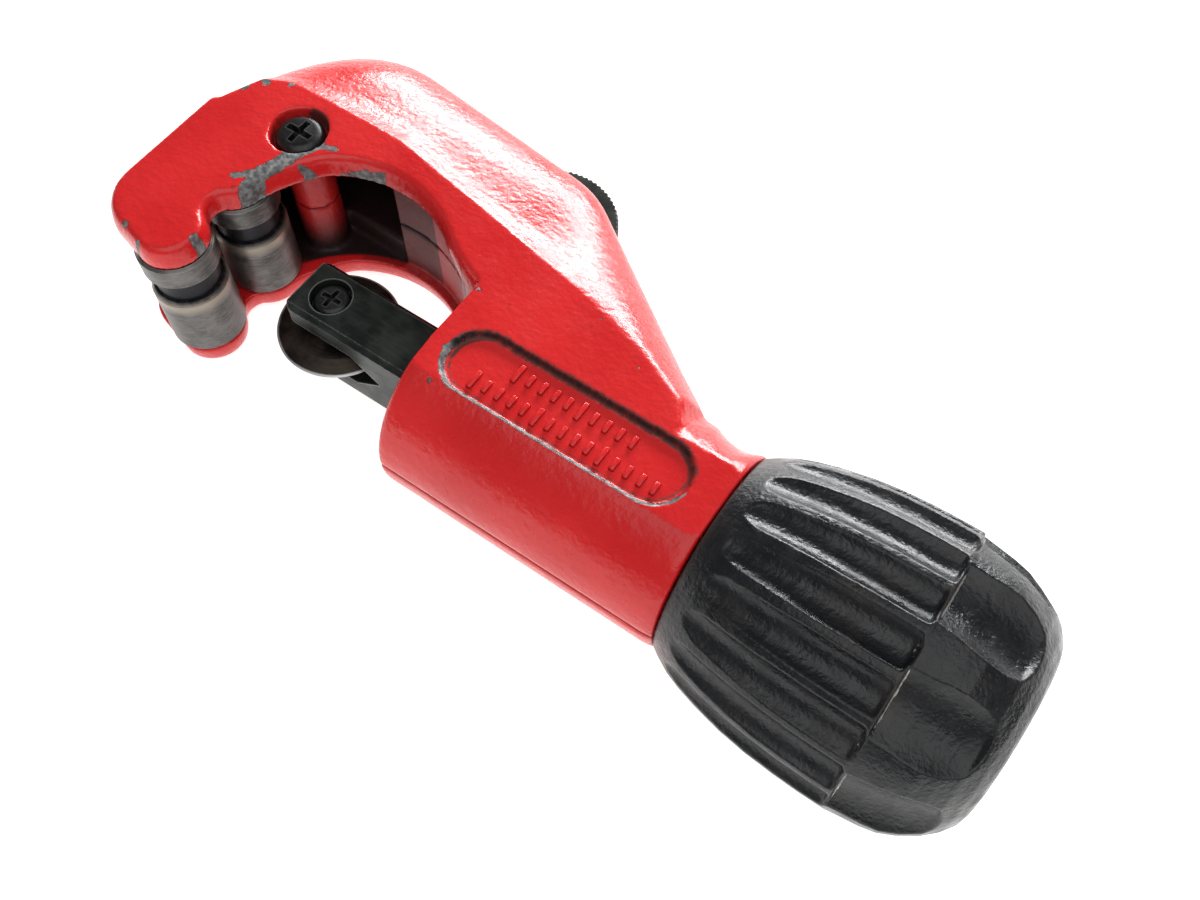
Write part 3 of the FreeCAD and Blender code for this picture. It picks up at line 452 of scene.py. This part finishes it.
def inner_shade_and_seam(points, normals):
    """Painted shade in the hollow behind the rollers, on the mouth's wall and in the slideway, and a
    dark line along the seam.
    """
    x, y, z = (points / MM).T
    facing_out = normals[:, 0] * (x - 8) + normals[:, 1] * (y - 28)
    hidden = (np.abs(z) < 10.8) & (x > -12.0) & (x < 27.3) & (normals[:, 2] * np.sign(z) < 0.3)
    hidden &= (facing_out < 3.0) | (y < 22)
    from_mouth = np.hypot(x - MOUTH_X, y)
    # Painted shade: near-black in the hidden hollow behind the rollers, beyond the mouth's rim.
    painted_shade_and_seam = hidden * smooth_step(y, 7.5, 12.0) * smooth_step(from_mouth, 20.4, 20.9)
    # Painted shade on the mouth's inner wall.
    mouth_wall = (np.abs(z) < 10.5) & (np.abs(from_mouth - 20.0) < 1.3) & (y > 4) & (x > 12)
    painted_shade_and_seam = np.maximum(painted_shade_and_seam, 0.42 * mouth_wall)
    boss = np.hypot(x - SCREW[0], y - SCREW[1])
    # The screw boss gets less painted shade, the higher it stands in z.
    painted_shade_and_seam *= 1 - 0.70 * (boss < 4.0) * smooth_step(z, -9.5, 2.0)
    # A dark line along the parting seam.
    seam = 1 - smooth_step(np.abs(z), 0.05, 0.32)
    painted_shade_and_seam = np.maximum(painted_shade_and_seam, 0.85 * seam)
    # Painted shade: near-black inside the slideway.
    slideway = (x < 62) & (x > 43.2) & (np.abs(y) < 10.2) & (np.abs(z) < 7.7) & (np.hypot(y, z) < 12.5)
    return np.maximum(painted_shade_and_seam, 0.9 * slideway)


def mark_shell(mesh, upper):
    """Write how worn each point of a half shell is, how much grime and painted shade it gets, and the
    dark line of its seam.
    """
    points, _ = arrays(mesh)
    x, y, z = (points / MM).T
    convex = ridge(mesh, 10)
    rim_wear, rim_grime_and_shade, rim_shade = panel_marks(points)
    wear = np.clip(convex * 2.2, 0, 0.30) + rim_wear
    # Darker where the surface is concave, on top of the panel rim's marks.
    grime_and_shade = rim_grime_and_shade + np.clip(-convex * 1.2, 0, 0.35)
    painted_shade_and_seam = np.maximum(inner_shade_and_seam(points, normals_of(mesh)), rim_shade)
    if upper:
        above = smooth_step(z, 9.5, 11.5)
        widths = ((SCAR, 1.35), (SCAR_BRANCH, 0.6), (SCAR_TIP, 0.8), (RIM_LINE, 0.28))
        scar = np.min([path_distance(points, path) / width for path, width in widths], axis=0)
        wear += above * 0.66 * (1 - smooth_step(scar, 0.55, 1.35))
        for chip_x, chip_y, size in CHIPS:
            reach = np.hypot(x - chip_x, y - chip_y) / size
            wear += above * 0.60 * (1 - smooth_step(reach, 0.2, 1.2))
        boss = np.hypot(x - SCREW[0], y - SCREW[1])
        # Painted shade in the gap between the head screw and its recess.
        grime_and_shade += 0.45 * (1 - smooth_step(np.abs(boss - 4.4), 0.2, 0.6)) * smooth_step(z, 9, 11)
        grime_and_shade += 0.45 * (1 - smooth_step(np.hypot(x - 4.6, y - 22.4), 1.2, 3.0)) * (z > 12)
    write_mark(mesh, "wear", wear)
    write_mark(mesh, "grime_and_shade", grime_and_shade)
    write_mark(mesh, "painted_shade_and_seam", painted_shade_and_seam)


def cast_shell(side, material):
    """Remake a half shell as one soft-edged casting."""
    node_name = f"{side}_half_shell"
    source = bpy.data.objects.new("casting_source", nodes[node_name].data.copy())
    scene.collection.objects.link(source)
    remesh = source.modifiers.new("remesh", "REMESH")
    remesh.mode = "VOXEL"
    remesh.voxel_size = VOXEL
    shape = bpy.data.meshes.new_from_object(source.evaluated_get(bpy.context.evaluated_depsgraph_get()))
    bpy.data.objects.remove(source)
    shape.name = f"{side}_casting"
    points, edges = arrays(shape)
    write_points(shape, averaged(points, edges, 3))
    soften_spine(shape)
    clear_slideway(shape)
    mark_shell(shape, side == "upper")
    piece = add_piece(f"{side}_casting", shape, "frame", material)
    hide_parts(node_name)


def rounded_bar(length, width, height, segments=3):
    """Corner loops of a low bar with rounded top edges, from its foot upwards."""
    edge = min(width, height) * 0.4
    rings = [(0.0, 0.0)]
    for step in range(segments + 1):
        angle = step * math.pi / 2 / segments
        rings.append((edge * (1 - math.cos(angle)), height - edge + edge * math.sin(angle)))
    return [[(sx * (length / 2 - inset), sy * (width / 2 - inset), z)
             for sx, sy in ((-1, -1), (1, -1), (1, 1), (-1, 1))] for inset, z in rings]


def panel_ticks(material):
    """Two rows of plain raised graduation bars in the panel."""
    vertices, faces = [], []
    floor = (FACE_Z - PANEL_DEPTH) * MM
    for row_y, start, count, pitch in TICK_ROWS:
        for number in range(count):
            reach = LONG_TICK if number % 5 == 0 else SHORT_TICK
            loops = rounded_bar(TICK_WIDTH, reach, TICK_HEIGHT)
            base = len(vertices)
            for loop in loops:
                for px, py, pz in loop:
                    vertices.append(((start + number * pitch + px) * MM, (row_y + py) * MM,
                                     floor + pz * MM))
            for level in range(len(loops) - 1):
                for corner in range(4):
                    following = (corner + 1) % 4
                    low, high = base + level * 4, base + (level + 1) * 4
                    faces.append((low + corner, low + following, high + following, high + corner))
            top = base + (len(loops) - 1) * 4
            faces.append((top, top + 1, top + 2, top + 3))
            faces.append((base + 3, base + 2, base + 1, base))
    mesh = bpy.data.meshes.new("panel_ticks")
    mesh.from_pydata(vertices, [], faces)
    mesh.update()
    heights = np.array([vertex[2] for vertex in vertices])
    write_mark(mesh, "wear", smooth_step(heights, floor + 0.3 * MM, floor + 0.5 * MM) * 0.18)
    write_mark(mesh, "grime_and_shade", np.zeros(len(vertices)))
    # Painted shade along the foot of each bar.
    write_mark(mesh, "painted_shade_and_seam", (1 - smooth_step(heights, floor, floor + 0.5 * MM)) * 0.75)
    add_piece("panel_ticks", mesh, "frame", material)


# ---------------------------------------------------------------- knob

# The knob as x and radius: its outline, its hollow from the front face inwards, and its end face
KNOB_PROFILE = [(91.6, 15.35), (92.6, 16.0), (94.8, 17.2), (97.1, 18.1), (100.3, 19.0), (105.0, 20.0),
                (109.1, 20.55), (113.4, 20.85), (117.2, 20.98), (120.6, 20.98), (121.5, 20.75),
                (123.4, 20.5), (125.9, 20.2), (128.2, 19.7), (130.5, 18.6), (132.7, 17.2),
                (134.6, 15.4), (135.8, 13.7), (136.18, 12.6)]
KNOB_FRONT = 91.6
KNOB_FACE = 136.18
KNOB_HOLLOW = [(KNOB_FRONT, 14.6), (KNOB_FRONT, 13.3), (KNOB_FRONT + 0.6, 13.2),
               (KNOB_FRONT + 0.6, 11.6), (KNOB_FRONT, 11.5), (KNOB_FRONT, 8.1), (104.4, 8.1),
               (104.4, 9.5), (107.4, 12.4), (128.0, 12.4), (131.0, 9.5)]
KNOB_END = [(136.2, 11.8), (136.2, 8.0), (136.15, 4.0), (136.15, 1.0)]

# Flutes run up to the ring, and scallops start behind it. FLUTE_AXIS gives the round tool's axis
# and SCALLOP_FLOOR the depth reached, both as x and distance from the knob's axis.
RING_X = 121.0
FLUTES = 20
SCALLOPS = 8
FLUTE_RADIUS = 3.3
FLUTE_AXIS = [(93.2, 20.7), (95.0, 20.3), (97.1, 20.55), (100.3, 21.25), (105, 22.0), (113, 22.6),
              (120.3, 22.75), (120.9, 23.6)]
SCALLOP_RADIUS = 9.0
SCALLOP_FLOOR = [(121.0, 18.7), (124.5, 18.1), (128.0, 17.2), (131.0, 16.25), (132.6, 15.95),
                 (133.4, 16.3), (134.2, 17.3), (136.2, 20.0)]
SCALLOP_TURN = math.radians(10)
FLUTE_TURN = math.radians(1)


def cut_radius(depth_path, x, angle, count, tool, phase):
    """Distance from the axis to the far side of a ring of round cuts, or infinity outside them."""
    spacing = 2 * np.pi / count
    offset = (angle + phase + spacing / 2) % spacing - spacing / 2
    axis = np.interp(x, *zip(*depth_path))
    inside = tool ** 2 - (axis * np.sin(offset)) ** 2
    return np.where(inside > 0, axis * np.cos(offset) - np.sqrt(np.clip(inside, 0, None)), np.inf)


def knob_mesh():
    """Sweep the knob's outline round its axis, cutting the flutes and the scallops into it."""
    turns = 800
    xs = np.concatenate([np.linspace(KNOB_FRONT, 95, 14),
                         np.linspace(95.3, 120.5, 110),
                         np.linspace(120.7, 122.2, 12),
                         np.linspace(122.5, KNOB_FACE, 80)])
    angles = np.arange(turns) * 2 * np.pi / turns
    x, angle = np.meshgrid(xs, angles, indexing="ij")
    profile_x, profile_r = zip(*KNOB_PROFILE)
    radius = np.interp(x, profile_x, profile_r)
    flute = cut_radius(FLUTE_AXIS, x, angle, FLUTES, FLUTE_RADIUS, FLUTE_TURN)
    scallop_path = [(x_at, floor + SCALLOP_RADIUS) for x_at, floor in SCALLOP_FLOOR]
    scallop = cut_radius(scallop_path, x, angle, SCALLOPS, SCALLOP_RADIUS, SCALLOP_TURN)
    shaped = np.where(x < RING_X, np.minimum(radius, flute), np.minimum(radius, scallop))
    vertices = np.stack([x, shaped * np.cos(angle), shaped * np.sin(angle)], axis=-1).reshape(-1, 3)
    loops = len(xs)
    vertices = vertices.tolist()
    faces = []
    for level in range(loops - 1):
        for turn in range(turns):
            following = (turn + 1) % turns
            faces.append((level * turns + turn, (level + 1) * turns + turn,
                          (level + 1) * turns + following, level * turns + following))

    def ring(at, size):
        """Add a circle of points and return the number of its first one."""
        start = len(vertices)
        vertices.extend((at, size * math.cos(a), size * math.sin(a)) for a in angles)
        return start

    def bridge(first, second):
        """Join two circles of points with a band of faces."""
        for turn in range(turns):
            following = (turn + 1) % turns
            faces.append((first + turn, second + turn, second + following, first + following))

    last = (loops - 1) * turns
    for at, size in KNOB_END:
        current = ring(at, size)
        bridge(last, current)
        last = current
    centre = len(vertices)
    vertices.append((KNOB_END[-1][0], 0.0, 0.0))
    faces.extend((last + turn, centre, last + (turn + 1) % turns) for turn in range(turns))
    last = 0
    for at, size in KNOB_HOLLOW:
        current = ring(at, size)
        bridge(current, last)
        last = current
    centre = len(vertices)
    vertices.append((KNOB_HOLLOW[-1][0], 0.0, 0.0))
    faces.extend((centre, last + turn, last + (turn + 1) % turns) for turn in range(turns))
    mesh = bpy.data.meshes.new("knob_casting")
    mesh.from_pydata([(px * MM, py * MM, pz * MM) for px, py, pz in vertices], [], faces)
    mesh.update()
    return mesh


def make_knob(material):
    """Make the knob, with worn ring and rims and dust in its hollows."""
    mesh = knob_mesh()
    points, edges = arrays(mesh)
    x = points[:, 0] / MM
    radius = np.hypot(points[:, 1], points[:, 2]) / MM
    outside = smooth_step(radius, 13.5, 14.5)
    write_points(mesh, averaged(points, edges, 2, outside * smooth_step(x, 92.5, 93.5)))
    convex = ridge(mesh, 9)
    ring = 1 - smooth_step(np.abs(x - RING_X + 0.1), 0.25, 0.7)
    wear = np.clip(convex * 4.5, 0, 0.36) + 0.42 * ring * (convex > 0.01)
    wear += 0.22 * smooth_step(x, 121.5, 124) * np.clip(convex * 10, 0, 1)
    write_mark(mesh, "wear", wear)
    write_mark(mesh, "grime_and_shade", np.clip(-convex * 6, 0, 1) * outside)
    piece = add_piece("knob_casting", mesh, "knob", material)
    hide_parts("knob")


# ---------------------------------------------------------------- carried-over parts

# How far a carried-over part's sharp edges are taken off
EDGE_WIDTH = 0.15 * MM


def dress(node_name, material, width):
    """Give a CAD node its finish and take the sharpness off its edges."""
    part = nodes[node_name]
    part.data.materials.clear()
    part.data.materials.append(material)
    if width:
        bevel = part.modifiers.new("edge", "BEVEL")
        bevel.width = width
        bevel.segments = 2
        bevel.limit_method = "ANGLE"
        bevel.angle_limit = math.radians(35)
        bevel.harden_normals = True


def dress_parts():
    """Give every CAD node that is shown as it is its finish."""
    black_oxide = machined("black_oxide", (0.007, 0.010, 0.008, 1), (0.024, 0.030, 0.026, 1),
                           grey(0.34), stretch=(0.2, 1, 1), metallic=0.55, rough=(0.30, 0.50)).data
    screw_black = machined("screw_black", grey(0.010), grey(0.026), grey(0.22), metallic=0.5,
                           rough=(0.28, 0.45), worn_edge=0.5).data
    pin_steel = machined("pin_steel", grey(0.38), grey(0.55), grey(0.7), metallic=1.0,
                         rough=(0.2, 0.35)).data
    bright_steel = machined("bright_steel", grey(0.40), grey(0.56), grey(0.7), metallic=1.0,
                            stretch=(3, 0.3, 0.3), rough=(0.22, 0.36)).data
    brass = machined("turned_brass", (0.44, 0.28, 0.09, 1), (0.60, 0.42, 0.16, 1),
                     (0.78, 0.60, 0.30, 1), metallic=1.0, stretch=(3, 0.3, 0.3), rough=(0.22, 0.4)).data
    roller = roller_steel("roller_steel")
    finishes = {
        "cutter_slide": black_oxide, "cutter_wheel": wheel_steel(), "wheel_axle_screw": screw_black,
        "head_screw": screw_black, "spine_screw": screw_black, "rear_screw_left": screw_black,
        "rear_screw_right": screw_black, "knob_grub_screw": screw_black, "front_roller": roller,
        "rear_roller": roller, "front_roller_pin": pin_steel, "rear_roller_pin": pin_steel,
        "feed_screw_pin": pin_steel, "reamer_pivot_pin": pin_steel, "feed_screw": bright_steel,
        "reamer_spring_washer": bright_steel, "feed_nut": brass, "thrust_washer": brass,
        "knob_friction_ring": soft_black(), "reamer_blade": knurled_steel(),
    }
    smooth_only = {"knob_friction_ring", "cutter_wheel", "feed_screw"}
    for node_name, material in finishes.items():
        dress(node_name, material, 0 if node_name in smooth_only else EDGE_WIDTH)


# ---------------------------------------------------------------- camera, floor and light

# The camera as fitted to the photograph, with the directions to its right and straight ahead
CAMERA_PLACE = (118.72, -68.16, 157.49)
CAMERA_RIGHT = (0.8234, 0.5674, 0.0034)
CAMERA_AHEAD = (-0.2744, 0.4034, -0.8729)
CAMERA_LENS = 37.5
CAMERA_SENSOR = 36.0

# Where the jaw and the knob touch the floor, and the floor's middle and half size in metres
JAW_REST = (-12.7, 0, -14.4)
KNOB_REST = (117.0, 0, -21.15)
FLOOR_MIDDLE_X = 0.06
FLOOR_REACH = 1.5
FLOOR_STEPS = 24

# Lamps stand this way from LIT_PLACE: direction, distance, width and height in metres, watts, colour
LIT_PLACE = (50, 8, 5)
LAMPS = {
    "window": ((-0.20, 0.93, 0.29), 0.70, 0.60, 0.13, 8.0, (0.98, 0.99, 1.0)),
    "ceiling": ((0.35, -0.35, 1.0), 0.8, 1.0, 1.0, 4.6, (1, 1, 1)),
}
WORLD_STRENGTH = 0.24


def place_camera():
    """Stand the camera where the object was seen from."""
    data = bpy.data.cameras.new("camera")
    data.sensor_width = CAMERA_SENSOR
    data.lens = CAMERA_LENS
    data.clip_start = 0.01
    data.clip_end = 10.0
    camera = bpy.data.objects.new("camera", data)
    right = Vector(CAMERA_RIGHT).normalized()
    back = -Vector(CAMERA_AHEAD).normalized()
    up = back.cross(right).normalized()
    right = up.cross(back)
    turn = Matrix((right, up, back)).transposed().to_4x4()
    camera.matrix_world = Matrix.Translation(Vector(CAMERA_PLACE) * MM) @ turn
    scene.collection.objects.link(camera)
    scene.camera = camera


def lay_floor():
    """A pale table that the knob and the jaw both rest on."""
    low_jaw = Vector(JAW_REST) * MM
    low_knob = Vector(KNOB_REST) * MM
    slope = (low_knob.z - low_jaw.z) / (low_knob.x - low_jaw.x)
    steps = FLOOR_STEPS
    vertices, faces = [], []
    for row in range(steps + 1):
        for column in range(steps + 1):
            x = FLOOR_MIDDLE_X + FLOOR_REACH * (column / steps - 0.5) * 2
            y = FLOOR_REACH * (row / steps - 0.5) * 2
            vertices.append((x, y, low_jaw.z + slope * (x - low_jaw.x)))
    for row in range(steps):
        for column in range(steps):
            first = row * (steps + 1) + column
            faces.append((first, first + 1, first + steps + 2, first + steps + 1))
    mesh = bpy.data.meshes.new("floor")
    mesh.from_pydata(vertices, [], faces)
    floor = bpy.data.objects.new("floor", mesh)
    scene.collection.objects.link(floor)
    look = Material("floor_white")
    look.set(Base_Color=look.mix(look.noise(0.2), (0.90, 0.90, 0.885, 1), (0.93, 0.93, 0.915, 1)),
             Roughness=0.9, Emission_Color=(1, 1, 0.985, 1), Emission_Strength=0.80,
             Specular_IOR_Level=0.1)
    mesh.materials.append(look.data)


def add_light(name, direction, distance, width, height, power, colour):
    """An area light in that direction from the middle of the object, facing it."""
    data = bpy.data.lights.new(name, "AREA")
    data.shape = "RECTANGLE"
    data.size = width
    data.size_y = height
    data.energy = power
    data.color = colour
    lamp = bpy.data.objects.new(name, data)
    target = Vector(LIT_PLACE) * MM
    where = target + Vector(direction).normalized() * distance
    turn = (where - target).to_track_quat("Z", "Y").to_matrix().to_4x4()
    lamp.matrix_world = Matrix.Translation(where) @ turn
    scene.collection.objects.link(lamp)


def light_scene():
    """Soft even surroundings, a low window beyond the spine and a broad ceiling light."""
    world = bpy.data.worlds.new("studio")
    world.use_nodes = True
    world.node_tree.nodes["Background"].inputs["Color"].default_value = (1.0, 1.0, 1.0, 1)
    world.node_tree.nodes["Background"].inputs["Strength"].default_value = WORLD_STRENGTH
    scene.world = world
    scene.view_settings.view_transform = "Standard"
    for name, settings in LAMPS.items():
        add_light(name, *settings)


red_enamel = enamel("red_enamel")
cast_shell("upper", red_enamel)
cast_shell("lower", red_enamel)
panel_ticks(red_enamel)
make_knob(knob_paint())
dress_parts()
place_camera()
lay_floor()
light_scene()


def plain(box):
    """A box as plain lists of numbers, for writing."""
    return [[float(value) for value in corner] for corner in box]
